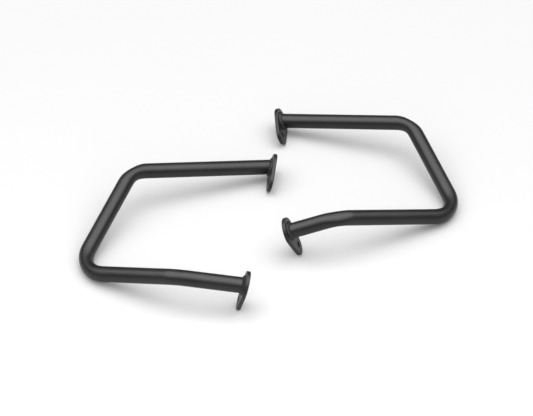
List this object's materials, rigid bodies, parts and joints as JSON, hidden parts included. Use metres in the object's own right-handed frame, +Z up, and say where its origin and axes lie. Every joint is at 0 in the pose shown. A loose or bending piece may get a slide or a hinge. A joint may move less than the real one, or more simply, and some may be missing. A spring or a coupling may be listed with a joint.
{
  "type": "motorcycle crash bars",
  "caption": "Left and right motorcycle crash bars of bent steel tube in satin black, with a slanted, welded flange plate and a bolt hole at each tube end.",
  "frame": {"origin": "centre of the pair's box on the floor that both bars lie on", "axes": "+Z up from the floor, +X from the left bar to the right bar, +Y to the back of the picture"},
  "size_m": [0.6132, 0.515, 0.0762],
  "materials": {
    "tube_coat": "satin",
    "flange_coat": "satin",
    "weld_coat": "satin"
  },
  "bodies": {
    "root": {"left_tube": "tube_coat", "left_upper_flange": "flange_coat", "left_lower_flange": "flange_coat", "left_upper_weld": "weld_coat", "left_lower_weld": "weld_coat", "right_tube": "tube_coat", "right_upper_flange": "flange_coat", "right_lower_flange": "flange_coat", "right_upper_weld": "weld_coat", "right_lower_weld": "weld_coat"}
  },
  "joints": []
}
